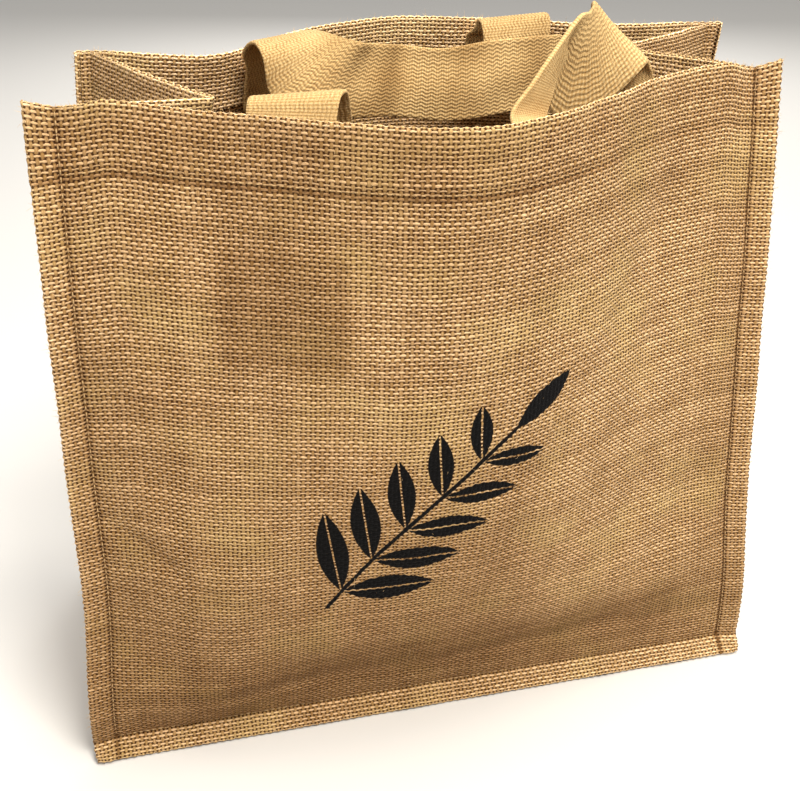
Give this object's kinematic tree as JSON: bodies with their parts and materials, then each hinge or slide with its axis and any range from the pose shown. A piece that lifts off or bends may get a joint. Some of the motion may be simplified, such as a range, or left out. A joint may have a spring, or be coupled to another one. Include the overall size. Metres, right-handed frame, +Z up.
{
  "type": "burlap shopping bag",
  "caption": "Open burlap shopping bag with folded side gussets, a flat base and looped webbing handles sewn inside the rim.",
  "frame": {"origin": "centre of the bag's outer box on the surface it stands on", "axes": "+Z up, +X across the bag to the right seen from its front, -Y out of the front panel"},
  "size_m": [0.3998, 0.2522, 0.4089],
  "materials": {
    "burlap": "coarse plain-woven jute, matt",
    "burlap_strip": "coarse plain-woven jute, matt",
    "webbing": "chevron-woven jute webbing, matt"
  },
  "bodies": {
    "root": {"front_panel": "burlap", "back_panel": "burlap", "side_strip": "burlap_strip", "handle_front": "webbing", "handle_back": "webbing"}
  },
  "joints": []
}
